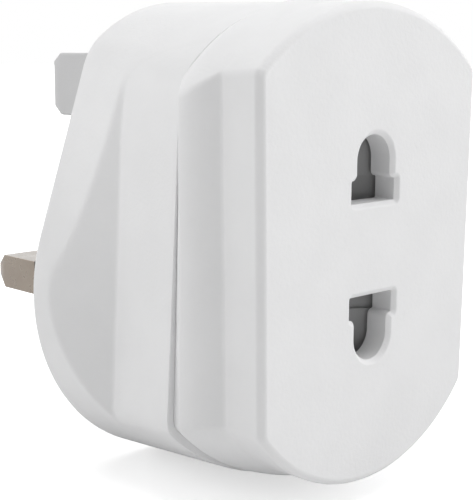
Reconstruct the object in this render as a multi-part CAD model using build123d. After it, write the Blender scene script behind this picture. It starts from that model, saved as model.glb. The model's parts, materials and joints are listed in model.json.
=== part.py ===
"""Shaver socket adaptor: a two-pole shaver outlet on a fused three-pin plug body.

Millimetres. X runs across the body, to the right as the user faces the socket. Y runs from the
socket face to the pins, with the pin face at Y = 0. Z is up, with zero midway between the two
apertures. Places along the body are given as a depth behind the socket face.
"""
from build123d import *
from math import acos, atan2, cos, radians, sin, sqrt, tan
import os

# Body
DEPTH = 30.15
SEAM = 10.1
FRONT_WALL = 2.9
PIN_WALL = 3.0
FACE_TOP_HALF = 16.2
FACE_BOTTOM_HALF = 15.6
FACE_TOP = 24.2
FACE_TOP_RADIUS = 23.7
FACE_BOTTOM = -24.1
FACE_BOTTOM_RADIUS = 20.0
FACE_CORNER = 1.1
FACE_CHAMFER = 0.6
CREASE_HALF = 17.0
CREASE = 4.9
CREASE_RISE = 0.6
RIDGE_HALF = 18.7
RIDGE = 9.0
RIDGE_TOP = 25.2
RIDGE_BOTTOM = -25.4
RIDGE_TOP_RADIUS = 23.4
RIDGE_BOTTOM_RADIUS = 25.5
RIDGE_CORNER = 1.6
SHOULDER_BULGE = 0.75
SHOULDER_STEPS = 4
REAR_TOP_HALF = 17.3
REAR_BOTTOM_HALF = 18.5
REAR_BEVEL = 0.3

# Rear housing
HOUSING_TOP_HALF = 18.2
HOUSING_BOTTOM_HALF = 20.0
HOUSING_TOP = 24.9
HOUSING_TOP_RADIUS = 23.4
HOUSING_BOTTOM = -25.6
HOUSING_BOTTOM_RADIUS = 27.0
HOUSING_TOP_CORNER = 6.5
HOUSING_BOTTOM_CORNER = 3.0
FLANGE_RADIUS = 20.7
FLANGE_OFFSET = 0.5
FLANGE_CENTRE = -6.5
FLANGE_TOP = 25.3
FLANGE_TOP_HALF = 13.3
FLANGE_CROWN = 5.4
FLANGE_CORNER = 5.0
FLANGE_SPLIT = 50.0
FLANGE_EDGE = 0.35
GRIP_HALF = 18.4
GRIP_TAPER = 0.16
GRIP_LEAN = 0.07
WAIST = 20.3
WAIST_HALF = 16.4
WAIST_LEAN = 0.05
FLARE_HALF = 21.5
FLARE_LEAN = 0.18
CAVITY_TOP_HALF = 12.2
CAVITY_BOTTOM_HALF = 15.4
CAVITY_TOP = 22.4
CAVITY_TOP_RADIUS = 19.0
CAVITY_BOTTOM = -23.0
CAVITY_BOTTOM_RADIUS = 24.0
CAVITY_CORNER = 2.0
COVER_CAVITY_HALF = 14.9
COVER_CAVITY_TOP = 22.2
COVER_CAVITY_BOTTOM = -22.2
COVER_CAVITY_RADIUS = 20.5
SPIGOT_WALL = 1.25
SPIGOT_LENGTH = 1.8
SPIGOT_ROOT = 1.0
SPIGOT_GAP = 0.15

# Apertures, mirrored above and below the middle
SLOT_INNER = 4.75
SLOT_OUTER = 7.1
SLOT_HALF = 3.4
ROUND_HALF = 2.6
ROUND_OUTER = 11.65
NECK_CUT = 0.6
FUNNEL = 0.45

# Plug pins
PIN_HALF_SPAN = 11.11
PIN_RISE = 22.23
EARTH_Z = 15.44
PIN_LENGTH = 17.7
PIN_WIDTH = 6.35
PIN_HEIGHT = 3.97
EARTH_LENGTH = 22.73
EARTH_WIDTH = 3.97
EARTH_HEIGHT = 7.92
PIN_TIP = 1.1
EARTH_TIP = 1.5
SLEEVE_LENGTH = 9.5
SLEEVE_WALL = 0.5
HEAD_THICKNESS = 1.5
HEAD_LIP = 1.3
HEAD_INSET = 0.4
HEAD_SHANK = 4.35
RIVET_RADIUS = 1.1
RIVET_LENGTH = 0.4

# Shutter and its tray
SHUTTER_GAP = 0.2
SHUTTER_HALF = 4.6
SHUTTER_REACH = 13.4
SHUTTER_THICK = 5.2
SHUTTER_TRAVEL = 8.0
SHUTTER_STOP_GAP = 0.15
SHUTTER_LEDGE = 3.0
RAMP_END = 0.6
RAMP_INNER = 3.8
SPRING_RADIUS = 1.5
SPRING_WIRE = 0.36
SPRING_TURNS = 6
SPRING_SIDES = 14
SPRING_POCKET = 4.0
SPRING_SEAT = 0.15
SPRING_END_GAP = 0.02
STOP_WALL = 1.5

# Inner block
BLOCK_HALF = 8.6
BLOCK_REACH = 15.2
FLANGE_HALF = 14.4
TRAY_FLOOR = 1.2
BLOCK_BACK = 20.7
WELL_HALF = 4.1
WELL_INNER = 4.3
WELL_OUTER = 13.1
WELL_FLOOR = 1.0
RIB_WIDTH = 3.0
RIB_HEIGHT = 2.2
UPPER_RIB = (11.9, 12.4)
LOWER_RIB = (13.0, -13.2)

# Brass strips
STRIP = 0.5
STRIP_WIDTH = 3.6
JAW_HALF = 2.4
JAW_INNER = 5.1
JAW_OUTER = 12.3
JAW_PINCH = 1.5
JAW_MOUTH = 9.6
JAW_FLARE = 0.2
TAIL_SLOT_GAP = 0.2

# Fuse and its drawer
FUSE_Z = 5.2
FUSE_LENGTH = 19.0
FUSE_RADIUS = 2.5
FUSE_TUBE_RADIUS = 2.15
FUSE_BORE = 1.25
FUSE_CAP = 4.5
FUSE_CAP_WALL = 0.3
FUSE_DEPTH = 24.2
DRAWER_HALF = 11.0
DRAWER_HEIGHT = 8.0
DRAWER_CAP = 2.6
DRAWER_GAP = 0.15
CRADLE_HALF = 4.2
CRADLE_WALL = 1.15
CLIP_CENTRE = 7.4
CLIP_ARM = 1.2
SADDLE_ARM = 1.0
SADDLE_THROAT = 2.05
NAIL_SLOT_WIDTH = 6.0
NAIL_SLOT_HEIGHT = 1.2
NAIL_SLOT_DEPTH = 0.7

# Screws
SCREW_X = 8.5
SCREW_Z = -17.8
SCREW_SHANK = 1.35
SCREW_HEAD = 2.6
SCREW_CONE = 1.3
SCREW_SINK = 0.3
SCREW_LENGTH = 15.0
CROSS_LENGTH = 2.9
CROSS_WIDTH = 0.7
CROSS_DEPTH = 0.8
PILLAR = 4.6
PILLAR_END = 13.0
PILOT_FLOOR = 0.6

# Fits, and how far one shape runs into or past another
FIT = 0.08
ROOT = 0.5
CUT = 1.0
FAR = 40.0

LIVE_Z = EARTH_Z - PIN_RISE
BACK_WALL = DEPTH - PIN_WALL
SHUTTER_FRONT = FRONT_WALL + SHUTTER_GAP
SHUTTER_BACK = SHUTTER_FRONT + SHUTTER_THICK
TRAY_BACK = SHUTTER_BACK + SHUTTER_GAP
FLANGE_BACK = TRAY_BACK + TRAY_FLOOR
SCREW_NECK = DEPTH - SCREW_SINK - SCREW_CONE


def at(depth):
    """The plane across the body at a depth behind the socket face, drawn in X and Z."""
    return Plane.XZ.offset(DEPTH - depth)


def prism(profile, front, back):
    """A profile in X and Z carried from one depth to another."""
    return extrude(at(front) * profile, amount=back - front, dir=(0, 1, 0))


def block(x0, x1, front, back, z0, z1):
    """A rectangular block between two X places, two depths and two heights."""
    profile = Pos((x0 + x1) / 2, (z0 + z1) / 2) * Rectangle(x1 - x0, z1 - z0)
    return prism(profile, front, back)


def mirrored(shape):
    """The same shape on the other side of the body."""
    return mirror(shape, about=Plane.YZ)


def both(shape):
    """A shape with its mirror image across the middle plane."""
    return shape + mirrored(shape)


def outline(half_top, half_bottom, top, top_radius, bottom, bottom_radius, corner, top_corner=None):
    """Straight sides between a crowned top and a crowned bottom, with rounded corners."""
    z_top = top - top_radius + sqrt(top_radius**2 - half_top**2)
    z_bottom = bottom + bottom_radius - sqrt(bottom_radius**2 - half_bottom**2)
    edges = [
        ThreePointArc((-half_top, z_top), (0, top), (half_top, z_top)),
        Line((half_top, z_top), (half_bottom, z_bottom)),
        ThreePointArc((half_bottom, z_bottom), (0, bottom), (-half_bottom, z_bottom)),
        Line((-half_bottom, z_bottom), (-half_top, z_top)),
    ]
    face = make_face(Curve() + edges)
    face = fillet(face.vertices().filter_by(lambda v: v.Y > 0), top_corner or corner)
    return fillet(face.vertices().sort_by(Axis.Y)[:2], corner)


def face_outline(grow=0.0):
    """The socket face, or a larger copy of it."""
    return outline(
        FACE_TOP_HALF + grow, FACE_BOTTOM_HALF + grow, FACE_TOP + grow, FACE_TOP_RADIUS + grow,
        FACE_BOTTOM - grow, FACE_BOTTOM_RADIUS + grow, FACE_CORNER,
    )


def rear_outline():
    """The front cover's rear edge, which leans as the housing behind it does."""
    return outline(
        REAR_TOP_HALF, REAR_BOTTOM_HALF, RIDGE_TOP - REAR_BEVEL, RIDGE_TOP_RADIUS - REAR_BEVEL,
        RIDGE_BOTTOM + REAR_BEVEL, RIDGE_BOTTOM_RADIUS - REAR_BEVEL, RIDGE_CORNER,
    )


def shoulder_outline(share):
    """The front cover at a share of the way from the crease to the ridge, bulging between them."""
    bulge = SHOULDER_BULGE * share * (1 - share)

    def between(crease, ridge, push=0.0):
        return crease + (ridge - crease) * share + push

    return outline(
        between(CREASE_HALF, RIDGE_HALF, 2 * bulge),
        between(CREASE_HALF - CREASE_RISE, RIDGE_HALF, 2 * bulge),
        between(FACE_TOP + CREASE_RISE, RIDGE_TOP, bulge),
        between(FACE_TOP_RADIUS + CREASE_RISE, RIDGE_TOP_RADIUS),
        between(FACE_BOTTOM - CREASE_RISE, RIDGE_BOTTOM, -bulge),
        between(FACE_BOTTOM_RADIUS + CREASE_RISE, RIDGE_BOTTOM_RADIUS),
        between(FACE_CORNER, RIDGE_CORNER),
    )


def cover_cavity():
    """The inside of the front cover and of its spigot."""
    return outline(
        COVER_CAVITY_HALF, COVER_CAVITY_HALF, COVER_CAVITY_TOP, COVER_CAVITY_RADIUS,
        COVER_CAVITY_BOTTOM, COVER_CAVITY_RADIUS, CAVITY_CORNER,
    )


def spigot_outline(gap=0.0):
    """The outside of the cover's spigot, or the rebate that it enters."""
    grow = SPIGOT_WALL + gap
    return outline(
        COVER_CAVITY_HALF + grow, COVER_CAVITY_HALF + grow, COVER_CAVITY_TOP + grow,
        COVER_CAVITY_RADIUS + grow, COVER_CAVITY_BOTTOM - grow, COVER_CAVITY_RADIUS + grow,
        CAVITY_CORNER + grow,
    )


def housing_outline():
    """The rear housing where it meets the front cover, before the finger grips are cut."""
    return outline(
        HOUSING_TOP_HALF, HOUSING_BOTTOM_HALF, HOUSING_TOP, HOUSING_TOP_RADIUS,
        HOUSING_BOTTOM, HOUSING_BOTTOM_RADIUS, HOUSING_BOTTOM_CORNER, HOUSING_TOP_CORNER,
    )


def housing_cavity():
    """The inside of the rear housing."""
    return outline(
        CAVITY_TOP_HALF, CAVITY_BOTTOM_HALF, CAVITY_TOP, CAVITY_TOP_RADIUS,
        CAVITY_BOTTOM, CAVITY_BOTTOM_RADIUS, CAVITY_CORNER,
    )


def flange_outline(inset=0.0):
    """The pin face: a round bottom, sides leaning in towards a crowned top."""
    radius = FLANGE_RADIUS - inset
    centre = Vector(FLANGE_OFFSET, FLANGE_CENTRE)
    shoulder = Vector(FLANGE_TOP_HALF - inset, FLANGE_TOP - FLANGE_CROWN - inset)
    reach = shoulder - centre
    lean = atan2(reach.Y, reach.X) - acos(radius / reach.length)
    split = radians(FLANGE_SPLIT)

    def low(angle):
        """A point of the arc that forms the right lower side."""
        return centre + Vector(cos(angle), sin(angle)) * radius

    def left(point):
        """The same point on the left."""
        return (-point.X, point.Y)

    corner = low(-split)
    middle = low((lean - split) / 2)
    bottom = FLANGE_CENTRE + FLANGE_OFFSET * tan(split) - radius - FLANGE_OFFSET / cos(split)
    edges = [
        ThreePointArc(left(shoulder), (0, FLANGE_TOP - inset), shoulder),
        Line(shoulder, low(lean)),
        ThreePointArc(low(lean), middle, corner),
        ThreePointArc(corner, (0, bottom), left(corner)),
        ThreePointArc(left(corner), left(middle), left(low(lean))),
        Line(left(low(lean)), left(shoulder)),
    ]
    face = make_face(Curve() + edges)
    return fillet(face.vertices().sort_by(Axis.Y)[-2:], FLANGE_CORNER - inset)


def aperture(side):
    """One keyhole aperture: a slot for flat blades with an arch for round pins beyond it."""
    slot_mid = (SLOT_INNER + SLOT_OUTER) / 2
    round_centre = ROUND_OUTER - ROUND_HALF
    slot = Pos(0, slot_mid) * Rectangle(2 * SLOT_HALF, SLOT_OUTER - SLOT_INNER)
    neck = Pos(0, (slot_mid + round_centre) / 2) * Rectangle(2 * ROUND_HALF, round_centre - slot_mid)
    shape = slot + neck + Pos(0, round_centre) * Circle(ROUND_HALF)
    inner = [v for v in shape.vertices() if abs(v.Y - SLOT_OUTER) < 0.01 and abs(v.X) < ROUND_HALF + 0.01]
    shape = chamfer(inner, NECK_CUT)
    return shape if side > 0 else mirror(shape, about=Plane.XZ)


def front_cover():
    """The socket half of the case: face, shoulder, spigot, apertures and screw pillars."""
    edge = loft([at(0) * face_outline(), at(FACE_CHAMFER) * face_outline(FACE_CHAMFER)], ruled=True)
    shares = [step / SHOULDER_STEPS for step in range(SHOULDER_STEPS + 1)]
    rings = [at(CREASE + (RIDGE - CREASE) * share) * shoulder_outline(share) for share in shares]
    sides = loft([at(FACE_CHAMFER) * face_outline(FACE_CHAMFER), rings[0]], ruled=True)
    shoulder = loft(rings, ruled=True)
    bevel = loft([rings[-1], at(SEAM) * rear_outline()], ruled=True)
    body = edge + sides + shoulder + bevel
    body -= prism(cover_cavity(), FRONT_WALL, SEAM)
    body += prism(spigot_outline() - cover_cavity(), SEAM - SPIGOT_ROOT, SEAM + SPIGOT_LENGTH)
    for side in (1, -1):
        body -= prism(aperture(side), -CUT, FRONT_WALL + CUT)
    lips = [wire.edges() for wire in body.faces().sort_by(Axis.Y)[0].inner_wires()]
    body = chamfer(lips[0] + lips[1], FUNNEL)
    place = Pos(SCREW_X, SCREW_Z)
    pillar = prism(place * Rectangle(PILLAR, PILLAR), FRONT_WALL - ROOT, PILLAR_END)
    pilot = prism(place * Circle(SCREW_SHANK + FIT), FRONT_WALL + PILOT_FLOOR, PILLAR_END)
    return body + both(pillar) - both(pilot)


def outside(near, far):
    """All that lies right of a wall, which is given at two depths as (depth, half width, lean)."""
    sections = []
    for depth, half, lean in (near, far):
        corners = [(half - lean * FAR, FAR), (2 * FAR, FAR), (2 * FAR, -FAR), (half + lean * FAR, -FAR)]
        sections.append(at(depth) * make_face(Polyline(*corners, close=True)))
    return loft(sections, ruled=True)


def finger_grip():
    """The space that the fingers enter on one side: a flat side wall, then a flare to the rim."""
    start = SEAM - CUT
    end = DEPTH + CUT
    spread = (FLARE_HALF - WAIST_HALF) / (DEPTH - WAIST)
    turn = (FLARE_LEAN - WAIST_LEAN) / (DEPTH - WAIST)

    def wall(depth):
        return (depth, GRIP_HALF - GRIP_TAPER * (depth - SEAM), GRIP_LEAN)

    def flare(depth):
        return (depth, WAIST_HALF + spread * (depth - WAIST), WAIST_LEAN + turn * (depth - WAIST))

    return outside(wall(start), wall(end)) & outside(flare(start), flare(end))


def pin_window(width, height):
    """A rectangular hole that a pin passes through."""
    return Rectangle(width + 2 * FIT, height + 2 * FIT)


def rear_housing():
    """The plug half of the case: shell, pin face, ribs, screw pillars and the fuse opening."""
    rim = DEPTH - FLANGE_EDGE
    body = loft([at(SEAM) * housing_outline(), at(rim) * flange_outline()], ruled=True)
    body += loft([at(rim) * flange_outline(), at(DEPTH) * flange_outline(FLANGE_EDGE)], ruled=True)
    body -= both(finger_grip())
    body -= prism(housing_cavity(), SEAM, BACK_WALL)
    body -= prism(spigot_outline(SPIGOT_GAP), SEAM, SEAM + SPIGOT_LENGTH + SPIGOT_GAP)
    for x, z in (UPPER_RIB, LOWER_RIB):
        body += both(prism(Pos(x, z) * Rectangle(RIB_WIDTH, RIB_HEIGHT), FLANGE_BACK, BACK_WALL + ROOT))
    place = Pos(SCREW_X, SCREW_Z)
    body += both(prism(place * Rectangle(PILLAR, PILLAR), PILLAR_END, BACK_WALL + ROOT))
    hole = prism(place * Circle(SCREW_SHANK + 2 * FIT), PILLAR_END, DEPTH)
    body -= both(hole + screw_cone(SCREW_SINK, 2 * FIT))
    power = Pos(PIN_HALF_SPAN, LIVE_Z) * pin_window(PIN_WIDTH, PIN_HEIGHT)
    body -= both(prism(power, BACK_WALL, DEPTH))
    body -= prism(Pos(0, EARTH_Z) * pin_window(EARTH_WIDTH, EARTH_HEIGHT), BACK_WALL, DEPTH)
    opening = Pos(0, FUSE_Z) * Rectangle(2 * (DRAWER_HALF + DRAWER_GAP), DRAWER_HEIGHT + 2 * DRAWER_GAP)
    body -= prism(opening, BACK_WALL, DEPTH)
    return body


def tip_chamfered(solid, size):
    """The outer end of a pin with its four end edges chamfered."""
    end = solid.faces().sort_by(Axis.Y)[-1]
    return chamfer(end.edges(), size)


def power_pin():
    """A brass pin: blade, slimmer root for the sleeve, head behind the wall, rivet spigot."""
    centre = Pos(PIN_HALF_SPAN, LIVE_Z)
    blade = prism(centre * Rectangle(PIN_WIDTH, PIN_HEIGHT), DEPTH + SLEEVE_LENGTH, DEPTH + PIN_LENGTH)
    blade = tip_chamfered(blade, PIN_TIP)
    root = prism(
        centre * Rectangle(PIN_WIDTH - 2 * SLEEVE_WALL, PIN_HEIGHT - 2 * SLEEVE_WALL),
        BACK_WALL, DEPTH + SLEEVE_LENGTH,
    )
    inner = PIN_HALF_SPAN - PIN_WIDTH / 2 - HEAD_LIP
    outer = PIN_HALF_SPAN + PIN_WIDTH / 2 - HEAD_INSET
    height = PIN_HEIGHT / 2 + HEAD_LIP
    head = block(inner, outer, BACK_WALL - HEAD_THICKNESS, BACK_WALL, LIVE_Z - height, LIVE_Z + height)
    neck = centre * Rectangle(HEAD_SHANK, PIN_HEIGHT)
    shank = prism(neck, BLOCK_BACK + STRIP, BACK_WALL - HEAD_THICKNESS)
    rivet = prism(centre * Circle(RIVET_RADIUS), BLOCK_BACK - RIVET_LENGTH, BLOCK_BACK + STRIP)
    return blade + root + head + shank + rivet


def pin_sleeve():
    """The insulating sleeve round the root of a power pin, through the wall."""
    centre = Pos(PIN_HALF_SPAN, LIVE_Z)
    ring = centre * Rectangle(PIN_WIDTH, PIN_HEIGHT)
    ring -= centre * Rectangle(PIN_WIDTH - 2 * SLEEVE_WALL, PIN_HEIGHT - 2 * SLEEVE_WALL)
    return prism(ring, BACK_WALL, DEPTH + SLEEVE_LENGTH)


def earth_pin():
    """The moulded pin that opens the wall socket's shutters, with a foot behind the wall."""
    section = Pos(0, EARTH_Z) * Rectangle(EARTH_WIDTH, EARTH_HEIGHT)
    blade = tip_chamfered(prism(section, BACK_WALL, DEPTH + EARTH_LENGTH), EARTH_TIP)
    low = EARTH_Z - EARTH_HEIGHT / 2
    foot = block(
        -EARTH_WIDTH / 2 - HEAD_LIP, EARTH_WIDTH / 2 + HEAD_LIP, BACK_WALL - HEAD_THICKNESS, BACK_WALL,
        low, EARTH_Z + EARTH_HEIGHT / 2 + HEAD_LIP,
    )
    stem = block(-EARTH_WIDTH / 2, EARTH_WIDTH / 2, BLOCK_BACK, BACK_WALL - HEAD_THICKNESS, low, BLOCK_REACH)
    return blade + foot + stem


def contact_block():
    """The inner moulding: shutter tray in front, two contact wells, floor for the strips."""
    body = block(-FLANGE_HALF, FLANGE_HALF, TRAY_BACK, FLANGE_BACK, -BLOCK_REACH, BLOCK_REACH)
    rail_low = SHUTTER_REACH + SHUTTER_GAP
    for side in (1, -1):
        z0, z1 = sorted((side * rail_low, side * BLOCK_REACH))
        body += block(-FLANGE_HALF, FLANGE_HALF, FRONT_WALL, TRAY_BACK, z0, z1)
    closed = -SHUTTER_HALF - SHUTTER_STOP_GAP
    opened = SHUTTER_HALF + SHUTTER_TRAVEL + SHUTTER_STOP_GAP
    body += block(closed - STOP_WALL, closed, FRONT_WALL, TRAY_BACK, -rail_low, rail_low)
    body += block(opened, opened + STOP_WALL, FRONT_WALL, TRAY_BACK, -rail_low, rail_low)
    body += block(-BLOCK_HALF, BLOCK_HALF, FLANGE_BACK, BLOCK_BACK, -BLOCK_REACH, BLOCK_REACH)
    for side in (1, -1):
        z0, z1 = sorted((side * WELL_INNER, side * WELL_OUTER))
        body -= block(-WELL_HALF, WELL_HALF, TRAY_BACK, BLOCK_BACK - WELL_FLOOR, z0, z1)
        body -= tail_slot(side)
    return body


def tail_slot(side):
    """The slot in a well's floor that the contact's tail passes through."""
    z0, z1 = sorted((side * (JAW_INNER - TAIL_SLOT_GAP), side * (JAW_INNER + STRIP + TAIL_SLOT_GAP)))
    gap = JAW_HALF + TAIL_SLOT_GAP
    return block(-gap, gap, BLOCK_BACK - WELL_FLOOR, BLOCK_BACK, z0, z1)


def jaw(side):
    """A folded brass jaw with two leaves that pinch the pin between them."""
    base = BLOCK_BACK - WELL_FLOOR
    middle = (base + JAW_MOUTH) / 2

    def leaf(z, inward):
        """One leaf as a bent band, bowed inwards at the middle and flared at the mouth."""
        line = [
            (z, base),
            (z + inward * JAW_PINCH, middle),
            (z + inward * JAW_FLARE, JAW_MOUTH),
            (z + inward * (JAW_FLARE - STRIP), JAW_MOUTH),
            (z + inward * (JAW_PINCH - STRIP), middle),
            (z - inward * STRIP, base),
        ]
        points = [(0, depth - DEPTH, side * height) for height, depth in line]
        face = make_face(Polyline(*points, close=True))
        return extrude(face, amount=JAW_HALF, dir=(1, 0, 0)) + extrude(face, amount=JAW_HALF, dir=(-1, 0, 0))

    z0, z1 = sorted((side * JAW_INNER, side * JAW_OUTER))
    floor = block(-JAW_HALF, JAW_HALF, base - STRIP, base, z0, z1)
    inner = leaf(JAW_INNER + STRIP, 1)
    outer = leaf(JAW_OUTER - STRIP, -1)
    tail0, tail1 = sorted((side * JAW_INNER, side * (JAW_INNER + STRIP)))
    tail = block(-JAW_HALF, JAW_HALF, base, BLOCK_BACK + STRIP, tail0, tail1)
    return floor + inner + outer + tail


def rivet_eye():
    """The hole in a strip for the rivet of the right power pin."""
    eye = Pos(PIN_HALF_SPAN, LIVE_Z) * Circle(RIVET_RADIUS + FIT)
    return prism(eye, BLOCK_BACK - CUT, BLOCK_BACK + CUT)


def line_contact():
    """The upper jaw, with a strip across the back of the block to the fuse clip."""
    strip = block(
        -CLIP_CENTRE + STRIP_WIDTH / 2, JAW_HALF, BLOCK_BACK, BLOCK_BACK + STRIP,
        JAW_INNER, JAW_INNER + STRIP_WIDTH / 2,
    )
    return jaw(1) + strip


def neutral_contact():
    """The lower jaw, with a strip across the back of the block to the neutral pin."""
    low = LIVE_Z - STRIP_WIDTH / 2
    left = -PIN_HALF_SPAN - STRIP_WIDTH / 2
    strip = block(left, JAW_HALF, BLOCK_BACK, BLOCK_BACK + STRIP, low, -JAW_INNER)
    return jaw(-1) + strip - mirrored(rivet_eye())


def fuse_clip():
    """A U clip on the right that holds one fuse cap between two flat arms."""
    left = CLIP_CENTRE - STRIP_WIDTH / 2
    right = CLIP_CENTRE + STRIP_WIDTH / 2
    reach = FUSE_RADIUS + FIT
    end = FUSE_DEPTH + CLIP_ARM
    clip = block(left, right, BLOCK_BACK, end, FUSE_Z - reach - STRIP, FUSE_Z + reach + STRIP)
    return clip - block(left, right, BLOCK_BACK + STRIP, end, FUSE_Z - reach, FUSE_Z + reach)


def fuse_clip_line():
    """The clip on the live side, with a strip down to the live pin."""
    left = CLIP_CENTRE - STRIP_WIDTH / 2
    right = PIN_HALF_SPAN + STRIP_WIDTH / 2
    low = LIVE_Z - STRIP_WIDTH / 2
    back = BLOCK_BACK + STRIP
    down = block(left, left + STRIP_WIDTH, BLOCK_BACK, back, low, FUSE_Z)
    across = block(left, right, BLOCK_BACK, back, low, low + STRIP_WIDTH)
    return fuse_clip() + down + across - rivet_eye()


def fuse_clip_load():
    """The clip on the outlet side, face to face with the end of the upper contact's strip."""
    return mirrored(fuse_clip())


def along_fuse(radius, start, end):
    """A cylinder along the fuse between two X places."""
    centre = Plane(origin=(start, FUSE_DEPTH - DEPTH, FUSE_Z), z_dir=(1, 0, 0))
    return extrude(centre * Circle(radius), amount=end - start)


def fuse_tube():
    """The fuse's ceramic body, bored through."""
    half = FUSE_LENGTH / 2 - FUSE_CAP_WALL
    return along_fuse(FUSE_TUBE_RADIUS, -half, half) - along_fuse(FUSE_BORE, -half, half)


def fuse_cap():
    """The metal cap on the right end of the fuse."""
    end = FUSE_LENGTH / 2
    cap = along_fuse(FUSE_RADIUS, end - FUSE_CAP, end)
    return cap - along_fuse(FUSE_TUBE_RADIUS, end - FUSE_CAP, end - FUSE_CAP_WALL)


def fuse_carrier():
    """The drawer in the pin face: a flush cap and a saddle that grips the fuse's body."""
    cap_front = DEPTH - DRAWER_CAP
    cap = prism(Pos(0, FUSE_Z) * Rectangle(2 * DRAWER_HALF, DRAWER_HEIGHT), cap_front, DEPTH)
    reach = FUSE_TUBE_RADIUS + CRADLE_WALL
    start = FUSE_DEPTH - SADDLE_ARM
    saddle = block(-CRADLE_HALF, CRADLE_HALF, start, cap_front, FUSE_Z - reach, FUSE_Z + reach)
    saddle -= along_fuse(FUSE_TUBE_RADIUS + FIT, -CRADLE_HALF, CRADLE_HALF)
    low = FUSE_Z - SADDLE_THROAT
    saddle -= block(-CRADLE_HALF, CRADLE_HALF, start, FUSE_DEPTH, low, FUSE_Z + SADDLE_THROAT)
    nail_z = FUSE_Z - DRAWER_HEIGHT / 2 + NAIL_SLOT_HEIGHT
    nail = Pos(0, nail_z) * Rectangle(NAIL_SLOT_WIDTH, NAIL_SLOT_HEIGHT)
    return cap + saddle - prism(nail, DEPTH - NAIL_SLOT_DEPTH, DEPTH)


def shutter():
    """The sliding shutter: two ramps that the pins push aside, and a web with the spring's pocket."""
    body = block(-SHUTTER_HALF, SHUTTER_HALF, SHUTTER_FRONT, SHUTTER_BACK, -SHUTTER_REACH, SHUTTER_REACH)
    ramp = [
        (SHUTTER_LEDGE, SHUTTER_FRONT - DEPTH),
        (-SHUTTER_HALF, SHUTTER_BACK - RAMP_END - DEPTH),
        (-SHUTTER_HALF, SHUTTER_FRONT - DEPTH),
    ]
    for side in (1, -1):
        z0 = RAMP_INNER if side > 0 else -ROUND_OUTER - RAMP_END
        face = Plane.XY.offset(z0) * make_face(Polyline(*ramp, close=True))
        body -= extrude(face, amount=ROUND_OUTER + RAMP_END - RAMP_INNER, dir=(0, 0, 1))
    pocket = Plane(origin=(SHUTTER_HALF - SPRING_POCKET, spring_depth() - DEPTH, 0), z_dir=(1, 0, 0))
    return body - extrude(pocket * Circle(SPRING_RADIUS + SPRING_SEAT), amount=SPRING_POCKET)


def spring_depth():
    """The spring's axis lies half way through the shutter."""
    return (SHUTTER_FRONT + SHUTTER_BACK) / 2


def shutter_spring():
    """The coil spring between the shutter's pocket and the tray's far wall."""
    inset = SPRING_WIRE / 2 + SPRING_END_GAP
    start = SHUTTER_HALF - SPRING_POCKET + inset
    end = SHUTTER_HALF + SHUTTER_TRAVEL + SHUTTER_STOP_GAP - inset
    length = end - start
    coil = SPRING_RADIUS - SPRING_WIRE / 2
    count = SPRING_TURNS * SPRING_SIDES
    steps = [Vector(coil, 0, length * step / count) for step in range(count + 1)]
    path = Polyline(*[point.rotate(Axis.Z, 360 * step / SPRING_SIDES) for step, point in enumerate(steps)])
    section = Plane(origin=path @ 0, z_dir=path % 0) * Rectangle(SPRING_WIRE, SPRING_WIRE)
    wire = sweep(section, path=path, transition=Transition.RIGHT)
    return Plane(origin=(start, spring_depth() - DEPTH, 0), z_dir=(1, 0, 0)) * wire


def screw_cone(rise, gap=0.0):
    """A screw's conical head, or the countersink for it, which rises to the pin face."""
    top = SCREW_HEAD + rise * (SCREW_HEAD - SCREW_SHANK) / SCREW_CONE
    neck = Plane(origin=(SCREW_X, SCREW_NECK - DEPTH, SCREW_Z), z_dir=(0, 1, 0))
    from_neck = (Align.CENTER, Align.CENTER, Align.MIN)
    return neck * Cone(SCREW_SHANK + gap, top + gap, SCREW_CONE + rise, align=from_neck)


def assembly_screws():
    """Two countersunk self-tapping screws that pull the cover onto the housing."""
    place = Pos(SCREW_X, SCREW_Z)
    top = SCREW_NECK + SCREW_CONE
    shank = prism(place * Circle(SCREW_SHANK), SCREW_NECK - SCREW_LENGTH, SCREW_NECK)
    cross = Rectangle(CROSS_LENGTH, CROSS_WIDTH) + Rectangle(CROSS_WIDTH, CROSS_LENGTH)
    screw = screw_cone(0) + shank - prism(place * cross, top - CROSS_DEPTH, top)
    return Compound(children=[screw.solid(), mirrored(screw).solid()])


PARTS = {
    "front_cover": front_cover,
    "rear_housing": rear_housing,
    "contact_block": contact_block,
    "shutter": shutter,
    "shutter_spring": shutter_spring,
    "live_pin": power_pin,
    "neutral_pin": lambda: mirrored(power_pin()),
    "live_pin_sleeve": pin_sleeve,
    "neutral_pin_sleeve": lambda: mirrored(pin_sleeve()),
    "earth_pin": earth_pin,
    "line_contact": line_contact,
    "neutral_contact": neutral_contact,
    "fuse_clip_line": fuse_clip_line,
    "fuse_clip_load": fuse_clip_load,
    "fuse_tube": fuse_tube,
    "fuse_cap_line": fuse_cap,
    "fuse_cap_load": lambda: mirrored(fuse_cap()),
    "fuse_carrier": fuse_carrier,
    "assembly_screws": assembly_screws,
}

os.makedirs("parts", exist_ok=True)
for name, make in PARTS.items():
    export_step(make(), f"parts/{name}.step")
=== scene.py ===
import json
from math import acos, atan2, cos, pi, radians, sin, sqrt, tan

import bmesh
import bpy
from mathutils import Matrix, Vector

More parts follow.
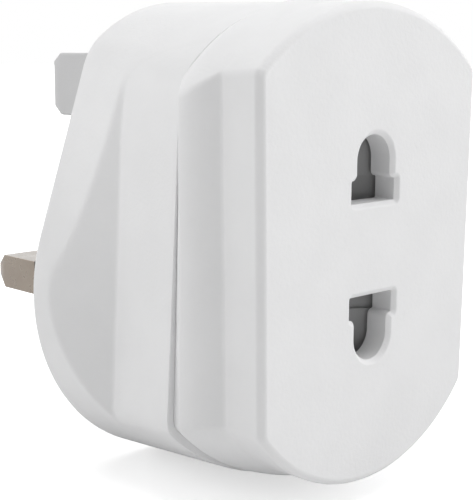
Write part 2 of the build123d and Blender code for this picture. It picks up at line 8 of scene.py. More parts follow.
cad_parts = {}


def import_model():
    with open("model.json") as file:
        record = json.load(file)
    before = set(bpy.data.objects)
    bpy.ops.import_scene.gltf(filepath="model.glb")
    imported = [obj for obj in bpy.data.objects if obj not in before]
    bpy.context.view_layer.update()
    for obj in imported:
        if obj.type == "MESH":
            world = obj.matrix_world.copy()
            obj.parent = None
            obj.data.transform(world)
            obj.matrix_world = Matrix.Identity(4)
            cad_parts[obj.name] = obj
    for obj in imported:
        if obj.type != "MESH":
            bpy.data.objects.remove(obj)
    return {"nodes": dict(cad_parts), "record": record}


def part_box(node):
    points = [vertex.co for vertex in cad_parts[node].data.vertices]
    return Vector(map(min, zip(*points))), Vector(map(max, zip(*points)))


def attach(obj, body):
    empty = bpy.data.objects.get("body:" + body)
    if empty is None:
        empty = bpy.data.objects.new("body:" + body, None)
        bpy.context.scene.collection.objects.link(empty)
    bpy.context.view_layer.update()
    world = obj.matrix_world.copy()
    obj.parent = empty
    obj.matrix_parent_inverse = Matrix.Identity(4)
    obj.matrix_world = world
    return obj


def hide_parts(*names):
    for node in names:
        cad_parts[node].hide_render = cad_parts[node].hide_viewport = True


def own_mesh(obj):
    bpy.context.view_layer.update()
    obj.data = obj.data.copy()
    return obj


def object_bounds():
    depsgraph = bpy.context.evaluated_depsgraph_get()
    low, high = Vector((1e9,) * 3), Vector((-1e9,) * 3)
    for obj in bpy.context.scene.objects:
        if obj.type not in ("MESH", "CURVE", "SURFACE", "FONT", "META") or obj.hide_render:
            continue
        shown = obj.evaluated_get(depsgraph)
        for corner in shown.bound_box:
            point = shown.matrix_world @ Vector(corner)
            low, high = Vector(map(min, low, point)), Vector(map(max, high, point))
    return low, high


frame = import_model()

CAD_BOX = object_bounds()

# Camera, from the photograph's own perspective
CAMERA_AT = Vector((-0.0931, -0.10545, 0.0202))
CAMERA_TOWARDS = Vector((0.688, 0.7055, -0.1688))
CAMERA_ROLL = 0.25
CAMERA_LENS = 85.27
CAMERA_SENSOR = 36.0
CAMERA_NEAR = 0.005

# Light: a plain sky, and broad suns as (name, azimuth, height above the floor, width, strength)
SKY = 0.25
SUNS = (
    ("light_top", 0.0, 85.0, 70.0, 0.60 * pi),
    ("light_right", -42.0, 14.0, 60.0, 0.49 * pi),
    ("light_left", 132.0, 12.0, 50.0, 0.35 * pi),
)
WHITE = (1.0, 1.0, 1.0, 1.0)

# Floor, in metres
FLOOR_RADIUS = 3.0
FLOOR_POINTS = 96
FLOOR_GREY = 0.88
FLOOR_GLOW = 0.54

# Plastics: colour, clouded colour, roughness, and the grain's depth in metres
PLASTICS = {
    "white_moulding": ((0.82, 0.82, 0.825), (0.80, 0.80, 0.805), 0.48, 0.00003),
    # A darker copy of the white moulding for the earth pin: painted shade
    "white_moulding_painted_shade": ((0.60, 0.60, 0.605), (0.58, 0.58, 0.585), 0.46, 0.00003),
    "shutter_moulding": ((0.31, 0.31, 0.312), (0.285, 0.285, 0.287), 0.42, 0.00002),
    "inner_moulding": ((0.55, 0.55, 0.54), (0.52, 0.52, 0.51), 0.5, 0.00003),
    "sleeve": ((0.03, 0.03, 0.03), (0.022, 0.022, 0.022), 0.45, 0.00002),
}
PLASTIC_IOR = 1.46
PLASTIC_SPREAD = 0.05
GLOSS_SCALE = 900.0
GRAIN_SCALE = 2600.0

# Specks in the plastic: cells per metre, which share of them has one, its size within its cell, its colour
SPECK_SCALE = 95.0
SPECK_SHARE = (0.955, 0.96)
SPECK_SIZE = (0.010, 0.016)
SPECK_COLOUR = (0.30, 0.27, 0.24)

# Metals: colour, tarnished colour, roughness, patches per metre, metallic share, and bright plating
METALS = {
    "pin_brass": ((0.29, 0.24, 0.19), (0.26, 0.21, 0.165), 0.30, 300.0, 0.6, 0.8),
    "contact_brass": ((0.78, 0.60, 0.30), (0.66, 0.48, 0.22), 0.32, 700.0, 1.0, 0.0),
    "spring_steel": ((0.60, 0.60, 0.62), (0.48, 0.48, 0.50), 0.28, 1500.0, 1.0, 0.0),
    "screw_steel": ((0.66, 0.67, 0.70), (0.52, 0.52, 0.53), 0.34, 900.0, 1.0, 0.0),
    "fuse_metal": ((0.74, 0.73, 0.71), (0.62, 0.61, 0.59), 0.22, 700.0, 1.0, 0.0),
}
METAL_SPREAD = (0.06, 0.08)
METAL_RELIEF = 0.00001
TARNISH_RANGE = (0.4, 0.62)
GLOSS_FINER = 2
MARKS_FINER = 6
PLATING_ROUGHNESS = 0.12

# The fuse's ceramic: colour, clouded colour, clouds per metre, limits of roughness, and its grain
CERAMIC = ((0.80, 0.77, 0.70), (0.74, 0.70, 0.62))
CERAMIC_SCALE = 500.0
CERAMIC_GLOSS = (0.25, 0.4)
CERAMIC_GLOSS_SCALE = 1500.0
CERAMIC_GRAIN_SCALE = 2500.0
CERAMIC_GRAIN = 0.00002

# Clouds per metre in the plastic, and the parts of a noise over which colours and roughness change
CLOUD_SCALE = 160.0
CLOUD_RANGE = (0.35, 0.65)
GLOSS_RANGE = (0.3, 0.7)

# The Mix node's sockets where it mixes colours
MIX_AMOUNT = 0
MIX_FIRST = 6
MIX_SECOND = 7
MIX_RESULT = 2

# Sizes in millimetres: across, behind the socket face, and up. Cutting shapes pass surfaces by FAR.
MM = 0.001
DEPTH = 30.15
SEAM = 10.1
FRONT_WALL = 2.9
BACK_WALL = 27.15
FAR = 1.0

# Points of an outline along half a crown, a top corner, a side, a bottom corner, half a crown
COVER_STEPS = (34, 10, 40, 10, 34)
HOUSING_STEPS = (44, 18, 84, 50, 40)
INNER_STEPS = (14, 5, 2, 5, 14)
CIRCLE_STEPS = 48

# Meshes: distances in metres within which points are one, angles in degrees, and steps of a rounding
NEAR = MM / 1000
SHEET_NEAR = MM / 10000
FLAT_ANGLE = 0.5
SHARP_ANGLE = 35.0
EDGE_ANGLE = 25.0
RING_STEPS = 4
EDGE_STEPS = 3

# Front cover. A pair of half widths is for the upper and the lower end of a straight side.
FACE_HALF = (16.2, 15.6)
FACE_TOP = 24.2
FACE_TOP_RADIUS = 23.7
FACE_BOTTOM = -24.1
FACE_BOTTOM_RADIUS = 20.0
FACE_CORNER = 1.1
CHAMFER = 0.6
CREASE = 4.9
CREASE_HALF = (17.0, 16.4)
CREASE_RISE = 0.6
RIDGE = 9.0
RIDGE_HALF = 18.7
RIDGE_TOP = 25.2
RIDGE_TOP_RADIUS = 23.4
RIDGE_BOTTOM = -25.4
RIDGE_BOTTOM_RADIUS = 25.5
RIDGE_CORNER = 1.6
BULGE = 0.95
BULGE_STEPS = 10
REAR_HALF = (17.3, 18.5)
REAR_BEVEL = 0.3
SPIGOT_WALL = 1.25
SPIGOT_END = 11.9
COVER_EASE = ((0.0, 0.22), (CHAMFER, 0.25), (CREASE, 0.3), (RIDGE, 0.16), (SEAM, 0.07))

# Cavities: half widths above and below, top and its radius, bottom and its radius, corners
COVER_CAVITY = (14.9, 14.9, 22.2, 20.5, -22.2, 20.5, 2.0, 2.0)
HOUSING_CAVITY = (12.2, 15.4, 22.4, 19.0, -23.0, 24.0, 2.0, 2.0)

# Apertures
SLOT_INNER = 4.75
SLOT_OUTER = 7.1
SLOT_HALF = 3.4
SLOT_CORNER = 0.2
SLOT_CORNER_STEPS = 4
ARCH_HALF = 2.6
ARCH_CENTRE = 9.05
ARCH_STEPS = 24
NECK_RADIUS = 0.6
NECK_STEPS = 8
FUNNEL = 0.45
LIP_EASE = 0.12

# Shutter: where its ramps start across and up, what they leave at their ends, and their step
RAMP_LEDGE = 3.0
RAMP_INNER = 3.8
RAMP_END = 0.6
RAMP_STEP = 0.5

# Rear housing: its outline at the seam, its round rim at the pin face, and the waist between them
HOUSING_TOP = 24.9
HOUSING_TOP_RADIUS = 23.4
HOUSING_BOTTOM = -25.6
HOUSING_BOTTOM_RADIUS = 27.0
HOUSING_HALF = (18.2, 20.0)
HOUSING_CORNERS = (9.0, 3.0)
RIM_RADIUS = 20.7
RIM_CENTRE = Vector((0.5, -6.5))
RIM_SPLIT = radians(50.0)
RIM_TOP = 25.3
RIM_SHOULDER = Vector((13.3, 19.9))
RIM_CORNER = 7.5
RIM_EASE = 0.4
SEAM_EASE = 0.1
WALL_HALF = 18.4
WALL_TAPER = 0.16
WALL_LEAN = 0.055
WALL_SOFT = 0.9
WAIST = 20.3
WAIST_HALF = 16.4
WAIST_LEAN = 0.05
WAIST_SOFT = 0.15
FLARE_HALF = 21.5
FLARE_LEAN = 0.18
FLARE_SOFT = 0.2
HOUSING_ROWS = 80
FIRST_ROW = 0.6
REBATE_GAP = 0.15

# Ribs inside the rear housing: where they stand, their width and height, and how far forward they reach
RIBS = ((11.9, 12.4), (13.0, -13.2))
RIB = (3.0, 2.2)
RIB_FRONT = 9.7

# Openings in the pin face: width, height, and their middle across and up
EARTH_WINDOW = (4.13, 8.08, 0.0, 15.44)
LIVE_WINDOW = (6.51, 4.13, 11.11, -6.79)
DRAWER_WINDOW = (22.3, 8.3, 0.0, 5.2)
WINDOW_EASE = 0.12

# Pillars for the screws, and their holes
SCREW_AT = Vector((8.5, -17.8))
PILLAR = 4.6
PILLAR_END = 13.0
PILOT_FRONT = 3.5
PILOT = 1.43
CLEARANCE = 1.51
SCREW_NECK = 28.55
COUNTERSINK = 3.05

# A pin's lead-in: its length, and how far it draws in the sides, and the top and bottom
EARTH_TIP = (2.1, 0.55, 1.05)
POWER_TIP = (1.9, 0.6, 1.3)

# Nodes with an edge radius, and a lead-in where they have one
SOFTENED = (
    ("earth_pin", 0.25, EARTH_TIP),
    ("neutral_pin", 0.2, POWER_TIP),
    ("live_pin", 0.2, POWER_TIP),
    ("fuse_carrier", 0.2, None),
)


class Tree:
    """A node tree, with a short way to add nodes."""

    def __init__(self, tree):
        self.nodes = tree.nodes
        self.links = tree.links

    def add(self, kind, inputs=(), **settings):
        """A node with its settings, and its inputs as values or as other nodes' outputs."""
        node = self.nodes.new("ShaderNode" + kind)
        for key, value in settings.items():
            setattr(node, key, value)
        for key, value in dict(inputs).items():
            self.feed(node.inputs[key], value)
        return node

    def feed(self, socket, value):
        """A value or another node's output into an input."""
        if isinstance(value, bpy.types.NodeSocket):
            self.links.new(value, socket)
        else:
            socket.default_value = value


class Finish(Tree):
    """A material on the object's own coordinates, with ways to build it up."""

    def __init__(self, name):
        self.material = bpy.data.materials.new(name)
        self.material.use_nodes = True
        super().__init__(self.material.node_tree)
        self.shader = self.nodes["Principled BSDF"]
        self.place = self.add("TexCoord").outputs["Object"]

    def give(self, **inputs):
        """Values or other nodes' outputs for the shader's inputs, named with underscores."""
        for key, value in inputs.items():
            name = " ".join(word if word == "IOR" else word.capitalize() for word in key.split("_"))
            self.feed(self.shader.inputs[name], value)

    def noise(self, scale, detail=2.0, roughness=0.5):
        """A cloud pattern with this many features per metre."""
        inputs = {"Vector": self.place, "Scale": scale, "Detail": detail, "Roughness": roughness}
        return self.add("TexNoise", inputs).outputs["Fac"]

    def ramp(self, value, span, result=(0.0, 1.0)):
        """A value between two limits mapped to two others."""
        limits = dict(zip(("From Min", "From Max", "To Min", "To Max"), (*span, *result)))
        return self.add("MapRange", {"Value": value, **limits}).outputs["Result"]

    def mixed(self, amount, first, second):
        """A colour between two others, each given as numbers or as another node's output."""
        inputs = {MIX_AMOUNT: amount}
        for index, colour in ((MIX_FIRST, first), (MIX_SECOND, second)):
            inputs[index] = colour if isinstance(colour, bpy.types.NodeSocket) else (*colour, 1.0)
        return self.add("Mix", inputs, data_type="RGBA").outputs[MIX_RESULT]

    def bump(self, height, distance):
        """A relief on the surface, with its depth in metres."""
        self.give(normal=self.add("Bump", {"Height": height, "Distance": distance}).outputs["Normal"])


def moulded_plastic(name, colour, shade, rough, grain):
    """Injection-moulded plastic: faint clouding, a fine spark-eroded grain and a few specks."""
    finish = Finish(name)
    base = finish.mixed(finish.ramp(finish.noise(CLOUD_SCALE, detail=3.0), CLOUD_RANGE), colour, shade)
    cells = finish.add("TexVoronoi", {"Vector": finish.place, "Scale": SPECK_SCALE})
    chance = finish.add("SeparateColor", {"Color": cells.outputs["Color"]}).outputs["Red"]
    rare = finish.ramp(chance, SPECK_SHARE)
    near = finish.ramp(cells.outputs["Distance"], SPECK_SIZE, (1.0, 0.0))
    speck = finish.add("Math", {0: rare, 1: near}, operation="MULTIPLY").outputs[0]
    limits = (rough - PLASTIC_SPREAD, rough + PLASTIC_SPREAD)
    gloss = finish.ramp(finish.noise(GLOSS_SCALE), GLOSS_RANGE, limits)
    finish.give(base_color=finish.mixed(speck, base, SPECK_COLOUR), roughness=gloss, IOR=PLASTIC_IOR)
    finish.bump(finish.noise(GRAIN_SCALE, detail=3.0, roughness=0.6), grain)
    return finish.material


def plain_metal(name, colour, dull, rough, scale, metallic, plating):
    """Metal with patches of tarnish and fine drawing marks, and bright plating over it if asked."""
    finish = Finish(name)
    patches = finish.ramp(finish.noise(scale, detail=4.0, roughness=0.6), TARNISH_RANGE)
    limits = (rough - METAL_SPREAD[0], rough + METAL_SPREAD[1])
    gloss = finish.ramp(finish.noise(scale * GLOSS_FINER), GLOSS_RANGE, limits)
    finish.give(base_color=finish.mixed(patches, colour, dull), roughness=gloss, metallic=metallic)
    finish.give(coat_weight=plating, coat_roughness=PLATING_ROUGHNESS)
    finish.bump(finish.noise(scale * MARKS_FINER), METAL_RELIEF)
    return finish.material


def glazed_ceramic(name):
    """The fuse's fired body."""
    finish = Finish(name)
    clouds = finish.ramp(finish.noise(CERAMIC_SCALE, detail=3.0), CLOUD_RANGE)
    gloss = finish.ramp(finish.noise(CERAMIC_GLOSS_SCALE), GLOSS_RANGE, CERAMIC_GLOSS)
    finish.give(base_color=finish.mixed(clouds, *CERAMIC), roughness=gloss)
    finish.bump(finish.noise(CERAMIC_GRAIN_SCALE), CERAMIC_GRAIN)
    return finish.material


FINISHES = {name: moulded_plastic(name, *numbers) for name, numbers in PLASTICS.items()}
FINISHES.update({name: plain_metal(name, *numbers) for name, numbers in METALS.items()})
FINISHES["fuse_ceramic"] = glazed_ceramic("fuse_ceramic")
# The earth pin takes a darker copy of the case's white plastic, in the same slot: painted shade, for the
# shade it stands in beside the pin face
PAINTED_SHADE_FINISH = {"earth_pin": "white_moulding_painted_shade"}
NODE_SLOT = {row["node"]: row["material_slot"] for row in frame["record"]["subparts"]}
BODIES = frame["record"]["behaviour"]["bodies"]
BODY_OF = {node: body for body, members in BODIES.items() for node in members}


def new_object(name, mesh):
    """A linked object at the origin."""
    thing = bpy.data.objects.new(name, mesh)
    bpy.context.scene.collection.objects.link(thing)
    return thing


def as_mesh(bm, name="solid"):
    """A finished mesh."""
    mesh = bpy.data.meshes.new(name)
    bm.to_mesh(mesh)
    bm.free()
    return mesh


def dress_frame():
    """Every node gets its finish."""
    for name, thing in frame["nodes"].items():
        thing.data.materials.clear()
        thing.data.materials.append(FINISHES[NODE_SLOT[name]])


def merged_copy(node):
    """A copy of a node's triangles as one closed mesh, with flat faces whole again."""
    mesh = frame["nodes"][node].data.copy()
    bm = bmesh.new()
    bm.from_mesh(mesh)
    bmesh.ops.remove_doubles(bm, verts=bm.verts, dist=NEAR)
    bmesh.ops.dissolve_limit(bm, angle_limit=radians(FLAT_ANGLE), verts=bm.verts, edges=bm.edges)
    bm.to_mesh(mesh)
    bm.free()
    return mesh


def stand_in(node, mesh):
    """A piece in a node's place, on its body, with the finish of its node's slot or its painted-shade
    copy.
    """
    piece = new_object(node + "_moulded", mesh)
    mesh.materials.clear()
    # The earth pin gets the darker copy of the white plastic here: painted shade
    mesh.materials.append(FINISHES[PAINTED_SHADE_FINISH.get(node, NODE_SLOT[node])])
    for polygon in mesh.polygons:
        polygon.use_smooth = True
        polygon.material_index = 0
    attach(piece, BODY_OF[node])
    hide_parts(node)
    return piece


def shaded_evenly(piece):
    """Smooth shading in which flat faces stay flat."""
    normals = piece.modifiers.new("even shading", "WEIGHTED_NORMAL")
    normals.keep_sharp = True


def moulded(node, mesh):
    """A moulding with rounded edges of its own, in its node's place."""
    piece = stand_in(node, mesh)
    mesh.set_sharp_from_angle(angle=radians(SHARP_ANGLE))
    shaded_evenly(piece)


def softened(node, radius, tip):
    """A node with a small radius on its edges, and with a lead-in at its tip if it is a pin."""
    mesh = merged_copy(node)
    if tip:
        lead_in(mesh, *tip)
    piece = stand_in(node, mesh)
    bevel = piece.modifiers.new("edge radius", "BEVEL")
    bevel.width = radius * MM
    bevel.segments = EDGE_STEPS
    bevel.limit_method = "ANGLE"
    bevel.angle_limit = radians(EDGE_ANGLE)
    bevel.use_clamp_overlap = True
    shaded_evenly(piece)


def lead_in(mesh, length, across, height):
    """A pin's tip, drawn in over a length: less at its sides than above and below."""
    end = max(vert.co.y for vert in mesh.vertices)
    slope = [vert for vert in mesh.vertices if vert.co.y > end - length * MM]
    middle = [sum(vert.co[axis] for vert in slope) / len(slope) for axis in (0, 2)]
    half = [max(abs(vert.co[axis] - centre) for vert in slope) for axis, centre in zip((0, 2), middle)]
    for vert in slope:
        if vert.co.y < end - NEAR:
            vert.co.y = end - length * MM
        else:
            for axis, centre, reach, inset in zip((0, 2), middle, half, (across, height)):
                vert.co[axis] = centre + (1 if vert.co[axis] > centre else -1) * (reach - inset * MM)


def compressed(node):
    """A coil spring in its node's place, with a mesh of its own."""
    piece = stand_in(node, merged_copy(node))
    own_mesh(piece)


def place(x, depth, z):
    """A point of the part from its three sizes."""
    return Vector((x, depth - DEPTH, z)) * MM


def between(first, last, share):
    """A number part of the way from one to another."""
    return first + (last - first) * share


def soft_least(a, b, reach):
    """The lesser of two numbers, blended where they are close."""
    near = max(reach - abs(a - b), 0) / reach
    return min(a, b) - near**2 * reach / 4


def rectangle(width, height, x=0.0, z=0.0):
    """A rectangle's four corners."""
    signs = ((-1, -1), (1, -1), (1, 1), (-1, 1))
    return [Vector((x + sx * width / 2, z + sz * height / 2)) for sx, sz in signs]


def arc(centre, radius, angles):
    """Points round a centre."""
    return [centre + Vector((cos(angle), sin(angle))) * radius for angle in angles]


def circle(radius, centre):
    """A round outline."""
    return arc(centre, radius, [2 * pi * step / CIRCLE_STEPS for step in range(CIRCLE_STEPS)])


def bend(centre, radius, start, end, steps):
    """Points of an arc between two angles in degrees, with both ends."""
    angles = [radians(start + (end - start) * step / steps) for step in range(steps + 1)]
    return arc(centre, radius, angles)


def turned(centre, start, end, steps):
    """Points round a centre from a start towards an end, without the end."""
    first, last = (atan2(point.y - centre.y, point.x - centre.x) for point in (start, end))
    angles = [first + (last - first) * step / steps for step in range(steps)]
    return arc(centre, (start - centre).length, angles)


def flipped(outline):
    """The outline on the other side of the middle plane."""
    return [Vector((-point.x, point.y)) for point in outline]


def both_sides(*outlines):
    """Some outlines, and then the same ones on the other side of the middle plane."""
    return [*outlines, *(flipped(outline) for outline in outlines)]


def outset(outline, distance):
    """An outline moved outwards all round."""
    moved = []
    for index, point in enumerate(outline):
        before = (point - outline[index - 1]).normalized()
        after = (outline[(index + 1) % len(outline)] - point).normalized()
        normals = Vector((before.y, -before.x)), Vector((after.y, -after.x))
        moved.append(point + (normals[0] + normals[1]) * distance / (1 + normals[0].dot(normals[1])))
    return moved


def corner_centre(point, along, inward, crown, crown_radius, radius):
    """The centre of the arc that rounds a straight side into a crown."""
    reach = point + inward * radius - crown
    slope = reach.dot(along)
    drop = sqrt(slope**2 - reach.dot(reach) + (crown_radius - radius) ** 2)
    return crown + reach - along * (slope + drop)


def crowned(side, top, top_radius, bottom, bottom_radius, corners, steps):
    """A whole outline: straight sides between two crowns, with rounded corners.

    side is the right side as two points, going down. steps are the points along half a crown,
    a top corner, a side, a bottom corner and half the bottom crown.
    """
    start, end = side
    along = (end - start).normalized()
    inward = Vector((along.y, -along.x))
    crowns = [Vector((0, top - top_radius)), Vector((0, bottom + bottom_radius))]
    upper = corner_centre(start, along, inward, crowns[0], top_radius, corners[0])
    lower = corner_centre(end, -along, inward, crowns[1], bottom_radius, corners[1])
    high = crowns[0] + (upper - crowns[0]).normalized() * top_radius
    low = crowns[1] + (lower - crowns[1]).normalized() * bottom_radius
    side_start = upper - inward * corners[0]
    side_end = lower - inward * corners[1]
    half = turned(crowns[0], Vector((0, top)), high, steps[0])
    half += turned(upper, high, side_start, steps[1])
    half += [side_start.lerp(side_end, step / steps[2]) for step in range(steps[2])]
    half += turned(lower, side_end, low, steps[3])
    half += turned(crowns[1], low, Vector((0, bottom)), steps[4])
    half.append(Vector((0, bottom)))
    return half + flipped(reversed(half[1:-1]))


def between_crowns(halves, top, top_radius, bottom, bottom_radius, corners, steps):
    """A crowned outline whose side runs between two half widths, each taken on its crown."""
    upper, lower = halves
    side = (
        Vector((upper, top - top_radius + sqrt(top_radius**2 - upper**2))),
        Vector((lower, bottom + bottom_radius - sqrt(bottom_radius**2 - lower**2))),
    )
    return crowned(side, top, top_radius, bottom, bottom_radius, corners, steps)


def cavity(top_half, bottom_half, top, top_radius, bottom, bottom_radius, *corners):
    """An inner outline, with fewer points."""
    halves = (top_half, bottom_half)
    return between_crowns(halves, top, top_radius, bottom, bottom_radius, corners, INNER_STEPS)


def wrap(bm, rings):
    """A sheet of squares wrapped round a run of outlines and closed at both ends.

    Each ring is a depth and its outline, and all the outlines have as many points.
    """
    around = len(rings[0][1])
    along = len(rings) - 1
    sheet = bmesh.ops.create_grid(bm, x_segments=around, y_segments=along, size=0.5)["verts"]
    for vert in sheet:
        depth, outline = rings[round((vert.co.y + 0.5) * along)]
        point = outline[round((vert.co.x + 0.5) * around) % around]
        vert.co = place(point.x, depth, point.y)
    bmesh.ops.remove_doubles(bm, verts=sheet, dist=SHEET_NEAR)
    rims = {edge for vert in sheet if vert.is_valid for edge in vert.link_edges if edge.is_boundary}
    bmesh.ops.holes_fill(bm, edges=list(rims), sides=0)


def prism(outline, front, back):
    """An outline carried from one depth to another."""
    return [(front, outline), (back, outline)]


def solid(*pieces):
    """A mesh of separate closed pieces, each given as its rings."""
    bm = bmesh.new()
    for rings in pieces:
        wrap(bm, rings)
    bmesh.ops.recalc_face_normals(bm, faces=bm.faces)
    return as_mesh(bm)


def combined(mesh, tool, operation):
    """A solid with another one cut away from it or joined to it."""
    body, other = new_object("body", mesh), new_object("tool", tool)
    boolean = body.modifiers.new("solid", "BOOLEAN")
    boolean.operation = operation
    boolean.solver = "EXACT"
    boolean.object = other
    result = bpy.data.meshes.new_from_object(body.evaluated_get(bpy.context.evaluated_depsgraph_get()))
    bpy.data.objects.remove(body)
    bpy.data.objects.remove(other)
    return result


def edges_at(bm, depth):
    """The edges that lie at one depth."""
    level = place(0, depth, 0).y
    return [edge for edge in bm.edges if all(abs(vert.co.y - level) < NEAR for vert in edge.verts)]


def round_edges(bm, edges, width, steps, clamp):
    """Rounds edges, as far as a width to each side of them."""
    bmesh.ops.bevel(
        bm, geom=edges, offset=width * MM, offset_type="OFFSET", affect="EDGES", segments=steps,
        profile=0.5, material=-1, clamp_overlap=clamp,
    )


def eased_shell(rings, eases):
    """A closed solid round some rings, with whole rings of edges rounded at the depths given."""
    bm = bmesh.new()
    wrap(bm, rings)
    bmesh.ops.recalc_face_normals(bm, faces=bm.faces)
    for depth, width in eases:
        round_edges(bm, edges_at(bm, depth), width, RING_STEPS, clamp=False)
    return as_mesh(bm)


def eased_lips(mesh, depth, width):
    """A solid with the sharp edges of the openings in one flat face rounded."""
    bm = bmesh.new()
    bm.from_mesh(mesh)
    lips = [edge for edge in edges_at(bm, depth) if edge.calc_face_angle(0) > radians(EDGE_ANGLE)]
    round_edges(bm, lips, width, EDGE_STEPS, clamp=True)
    return as_mesh(bm)


def face_rings():
    """The cover's face and the foot of its chamfer, as outlines with their depths."""
    rings = []
    for depth, grow in ((0.0, 0.0), (CHAMFER, CHAMFER)):
        halves = [half + grow for half in FACE_HALF]
        rings.append((depth, between_crowns(
            halves, FACE_TOP + grow, FACE_TOP_RADIUS + grow, FACE_BOTTOM - grow, FACE_BOTTOM_RADIUS + grow,
            (FACE_CORNER, FACE_CORNER), COVER_STEPS,
        )))
    return rings


def shoulder_rings():
    """The cover's shoulder, bulging a little between the crease and the ridge."""
    rings = []
    for step in range(BULGE_STEPS + 1):
        share = step / BULGE_STEPS
        bulge = BULGE * share * (1 - share)
        corner = between(FACE_CORNER, RIDGE_CORNER, share)
        rings.append((between(CREASE, RIDGE, share), between_crowns(
            [between(half, RIDGE_HALF, share) + 2 * bulge for half in CREASE_HALF],
            between(FACE_TOP + CREASE_RISE, RIDGE_TOP, share) + bulge,
            between(FACE_TOP_RADIUS + CREASE_RISE, RIDGE_TOP_RADIUS, share),
            between(FACE_BOTTOM - CREASE_RISE, RIDGE_BOTTOM, share) - bulge,
            between(FACE_BOTTOM_RADIUS + CREASE_RISE, RIDGE_BOTTOM_RADIUS, share),
            (corner, corner), COVER_STEPS,
        )))
    return rings


def rear_ring():
    """The cover's rear edge, at the seam."""
    return SEAM, between_crowns(
        REAR_HALF, RIDGE_TOP - REAR_BEVEL, RIDGE_TOP_RADIUS - REAR_BEVEL,
        RIDGE_BOTTOM + REAR_BEVEL, RIDGE_BOTTOM_RADIUS - REAR_BEVEL,
        (RIDGE_CORNER, RIDGE_CORNER), COVER_STEPS,
    )


def keyhole():
    """The upper aperture's outline: a slot with an arch over it, anticlockwise."""
    corner = SLOT_CORNER
    low = Vector((SLOT_HALF - corner, SLOT_INNER + corner))
    high = Vector((SLOT_HALF - corner, SLOT_OUTER - corner))
    neck = Vector((ARCH_HALF + NECK_RADIUS, SLOT_OUTER + NECK_RADIUS))
    half = bend(low, corner, -90, 0, SLOT_CORNER_STEPS) + bend(high, corner, 0, 90, SLOT_CORNER_STEPS)
    half += bend(neck, NECK_RADIUS, -90, -180, NECK_STEPS)
    half += bend(Vector((0, ARCH_CENTRE)), ARCH_HALF, 0, 90, ARCH_STEPS)
    return half + flipped(reversed(half[:-1]))


def aperture_rings(side):
    """The space of one aperture, upper or lower, with a funnel at the face."""
    outline = keyhole()
    if side < 0:
        outline = [Vector((point.x, -point.y)) for point in reversed(outline)]
    wide = outset(outline, FUNNEL)
    return [(-FAR, wide), (0.0, wide), (FUNNEL, outline), (FRONT_WALL + FAR, outline)]


def front_cover():
    """The socket half of the case, with eased edges."""
    mesh = eased_shell(face_rings() + shoulder_rings() + [rear_ring()], COVER_EASE)
    inside = cavity(*COVER_CAVITY)
    spigot = outset(inside[::-1], SPIGOT_WALL)
    pillar = rectangle(PILLAR, PILLAR, *SCREW_AT)
    pillars = [prism(one, FRONT_WALL - FAR / 2, PILLAR_END) for one in both_sides(pillar)]
    pilots = [prism(one, PILOT_FRONT, PILLAR_END + FAR) for one in both_sides(circle(PILOT, SCREW_AT))]
    mesh = combined(mesh, solid(prism(spigot, SEAM - FAR, SPIGOT_END)), "UNION")
    mesh = combined(mesh, solid(prism(inside, FRONT_WALL, SPIGOT_END + FAR)), "DIFFERENCE")
    mesh = combined(mesh, solid(*pillars), "UNION")
    mesh = combined(mesh, solid(*pilots), "DIFFERENCE")
    mesh = combined(mesh, solid(aperture_rings(1), aperture_rings(-1)), "DIFFERENCE")
    return eased_lips(mesh, 0.0, LIP_EASE)


def gripped(point, depth):
    """A point of the housing's outside, drawn in where the flat side wall and the flare are."""
    side = 1 if point.x > 0 else -1
    height = point.y
    ahead = (depth - WAIST) / (DEPTH - WAIST)
    wall = WALL_HALF - WALL_TAPER * (depth - SEAM) - WALL_LEAN * height
    flare = between(WAIST_HALF, FLARE_HALF, ahead) - between(WAIST_LEAN, FLARE_LEAN, ahead) * height
    flat = soft_least(abs(point.x), wall, WALL_SOFT)
    flared = soft_least(abs(point.x), flare, FLARE_SOFT)
    return Vector((-side * soft_least(-flat, -flared, WAIST_SOFT), height))


def housing_rings():
    """The rear housing between the seam and the pin face, with the finger grips pressed in."""
    seam = between_crowns(
        HOUSING_HALF, HOUSING_TOP, HOUSING_TOP_RADIUS, HOUSING_BOTTOM, HOUSING_BOTTOM_RADIUS,
        HOUSING_CORNERS, HOUSING_STEPS,
    )
    reach = RIM_SHOULDER - RIM_CENTRE
    lean = atan2(reach.y, reach.x) - acos(RIM_RADIUS / reach.length)
    crown = RIM_TOP - RIM_SHOULDER.y
    crown_radius = (RIM_SHOULDER.x**2 + crown**2) / (2 * crown)
    bottom_radius = RIM_RADIUS + RIM_CENTRE.x / cos(RIM_SPLIT)
    bottom = RIM_CENTRE.y + RIM_CENTRE.x * tan(RIM_SPLIT) - bottom_radius
    side = (RIM_SHOULDER, RIM_CENTRE + Vector((cos(lean), sin(lean))) * RIM_RADIUS)
    corners = (RIM_CORNER, RIM_RADIUS)
    rim = crowned(side, RIM_TOP, crown_radius, bottom, bottom_radius, corners, HOUSING_STEPS)
    first, last, steps = SEAM + FIRST_ROW, DEPTH - FIRST_ROW, HOUSING_ROWS - 2
    depths = [SEAM, *(first + (last - first) * step / steps for step in range(steps + 1)), DEPTH]
    rings = []
    for depth in depths:
        share = (depth - SEAM) / (DEPTH - SEAM)
        rings.append((depth, [gripped(a.lerp(b, share), depth) for a, b in zip(seam, rim)]))
    return rings


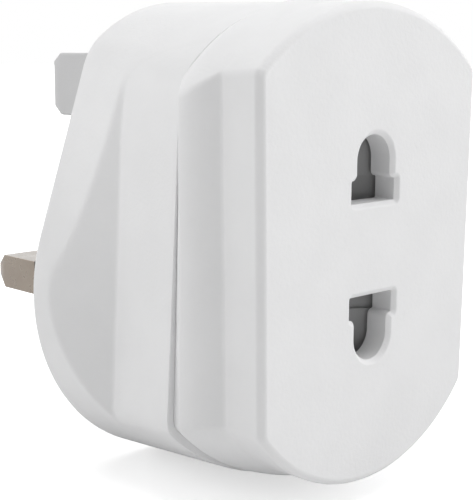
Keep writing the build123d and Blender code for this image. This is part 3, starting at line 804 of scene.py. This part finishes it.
def rear_housing():
    """The plug half of the case, with eased edges."""
    mesh = eased_shell(housing_rings(), ((SEAM, SEAM_EASE), (DEPTH, RIM_EASE)))
    rebate = outset(cavity(*COVER_CAVITY)[::-1], SPIGOT_WALL + REBATE_GAP)
    mesh = combined(mesh, solid(prism(cavity(*HOUSING_CAVITY), SEAM - FAR, BACK_WALL)), "DIFFERENCE")
    mesh = combined(mesh, solid(prism(rebate, SEAM - FAR, SPIGOT_END + REBATE_GAP)), "DIFFERENCE")
    ribs = both_sides(*(rectangle(*RIB, x, z) for x, z in RIBS))
    pillars = both_sides(rectangle(PILLAR, PILLAR, *SCREW_AT))
    held = [prism(one, RIB_FRONT, BACK_WALL + FAR / 2) for one in ribs]
    held += [prism(one, PILLAR_END, BACK_WALL + FAR / 2) for one in pillars]
    mesh = combined(mesh, solid(*held), "UNION")
    holes = [rectangle(*EARTH_WINDOW), *both_sides(rectangle(*LIVE_WINDOW)), rectangle(*DRAWER_WINDOW)]
    cuts = [prism(one, BACK_WALL - FAR, DEPTH + FAR) for one in holes]
    shanks, heads = (both_sides(circle(radius, SCREW_AT)) for radius in (CLEARANCE, COUNTERSINK))
    for shank, head in zip(shanks, heads):
        cuts.append([(PILLAR_END - FAR, shank), (SCREW_NECK, shank), (DEPTH, head), (DEPTH + FAR, head)])
    mesh = combined(mesh, solid(*cuts), "DIFFERENCE")
    return eased_lips(mesh, DEPTH, WINDOW_EASE)


def stepped_shutter():
    """The shutter, with the part of each ramp behind the slot set a little deeper."""
    low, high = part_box("shutter")
    front, back = (DEPTH + point[1] / MM for point in (low, high))
    fall = (back - RAMP_END - front) / (RAMP_LEDGE - low[0] / MM)
    cuts = []
    for side in (1, -1):
        rings = []
        for depth in (front - FAR, back - RAMP_END + RAMP_STEP):
            reach = RAMP_LEDGE - (depth - front - RAMP_STEP) / fall
            width = reach - low[0] / MM + FAR
            middle = side * (RAMP_INNER + SLOT_OUTER) / 2
            rings.append((depth, rectangle(width, SLOT_OUTER - RAMP_INNER, reach - width / 2, middle)))
        cuts.append(rings)
    return combined(merged_copy("shutter"), solid(*cuts), "DIFFERENCE")


def floor():
    """A broad pale floor that keeps the object's shadow."""
    bm = bmesh.new()
    bmesh.ops.create_circle(bm, cap_ends=True, radius=FLOOR_RADIUS, segments=FLOOR_POINTS)
    bmesh.ops.translate(bm, verts=bm.verts, vec=(0, 0, CAD_BOX[0][2]))
    thing = new_object("floor", as_mesh(bm, "floor"))
    finish = Finish("floor")
    seen = finish.add("LightPath").outputs["Is Camera Ray"]
    glow = finish.add("Math", {0: seen, 1: FLOOR_GLOW}, operation="MULTIPLY").outputs[0]
    finish.give(base_color=(FLOOR_GREY, FLOOR_GREY, FLOOR_GREY, 1.0), roughness=1.0)
    finish.give(emission_color=WHITE, emission_strength=glow, specular_IOR_level=0.0)
    thing.data.materials.append(finish.material)


def world():
    """A white backdrop for the camera and for reflections, and a plain sky for the rest."""
    scene = bpy.context.scene
    scene.world = bpy.data.worlds.new("studio")
    scene.world.use_nodes = True
    tree = Tree(scene.world.node_tree)
    rays = tree.add("LightPath").outputs
    seen = rays["Is Camera Ray"]
    for kind in ("Is Transmission Ray", "Is Glossy Ray"):
        seen = tree.add("Math", {0: seen, 1: rays[kind]}, operation="MAXIMUM").outputs[0]
    strength = tree.add("MapRange", {"Value": seen, "To Min": SKY, "To Max": 1.0}).outputs["Result"]
    background = tree.nodes["Background"].inputs
    tree.feed(background["Color"], WHITE)
    tree.feed(background["Strength"], strength)


def lights():
    """Broad suns, so that the floor is lit evenly. Azimuth 0 is at +X."""
    for name, azimuth, height, width, strength in SUNS:
        lamp = bpy.data.lights.new(name, "SUN")
        lamp.energy = strength
        lamp.angle = radians(width)
        turn, rise = radians(azimuth), radians(height)
        towards = Vector((cos(rise) * cos(turn), cos(rise) * sin(turn), sin(rise)))
        new_object(name, lamp).rotation_euler = towards.to_track_quat("Z", "Y").to_euler()


def camera():
    """The photograph's viewpoint."""
    lens = bpy.data.cameras.new("camera")
    lens.sensor_fit = "VERTICAL"
    lens.sensor_height = CAMERA_SENSOR
    lens.lens = CAMERA_LENS
    lens.clip_start = CAMERA_NEAR
    thing = new_object("camera", lens)
    turn = CAMERA_TOWARDS.to_track_quat("-Z", "Y").to_matrix().to_4x4()
    roll = Matrix.Rotation(radians(CAMERA_ROLL), 4, "Z")
    thing.matrix_world = Matrix.Translation(CAMERA_AT) @ turn @ roll
    bpy.context.scene.camera = thing


dress_frame()
moulded("front_cover", front_cover())
moulded("rear_housing", rear_housing())
moulded("shutter", stepped_shutter())
for node, radius, tip in SOFTENED:
    softened(node, radius, tip)
compressed("shutter_spring")
floor()
world()
lights()
camera()
bpy.context.scene.view_settings.view_transform = "Standard"
